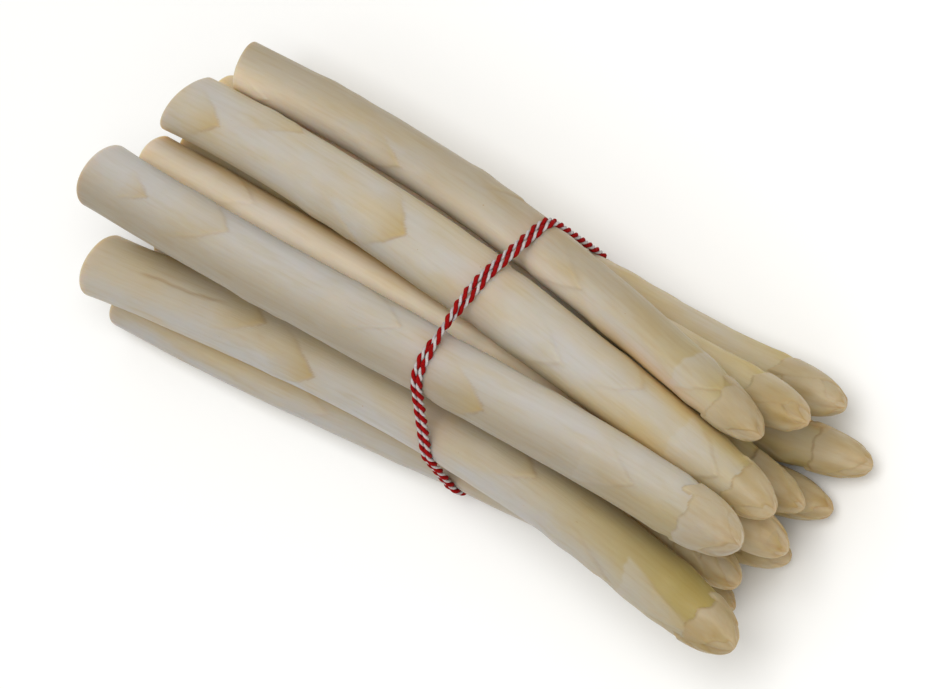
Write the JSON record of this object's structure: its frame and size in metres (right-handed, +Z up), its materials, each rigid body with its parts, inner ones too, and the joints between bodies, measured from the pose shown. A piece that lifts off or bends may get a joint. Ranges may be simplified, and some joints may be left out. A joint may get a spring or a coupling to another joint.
{
  "type": "bundle of asparagus",
  "caption": "Bundle of white asparagus lying on its side, whole spears with closed scaly tips and cut butts, tied round the waist with red and white twine.",
  "frame": {"origin": "under the middle of the bundle's box, on the surface that the bundle lies on", "axes": "+X along the spears from the cut butts to the tips, +Z up, +Y across the bundle"},
  "size_m": [0.2232, 0.0848, 0.0572],
  "materials": {
    "asparagus": "fresh white asparagus skin: satin, slightly translucent cream with fine lengthwise streaks, yellower at the scale leaves",
    "twine": "two-ply cotton baker's twine, one red and one white strand, matt and slightly fuzzy"
  },
  "bodies": {
    "root": {"spear_01": "asparagus", "spear_02": "asparagus", "spear_03": "asparagus", "spear_04": "asparagus", "spear_05": "asparagus", "spear_06": "asparagus", "spear_07": "asparagus", "spear_08": "asparagus", "spear_09": "asparagus", "spear_10": "asparagus", "spear_11": "asparagus", "spear_12": "asparagus", "spear_13": "asparagus", "twine": "twine"}
  },
  "joints": []
}
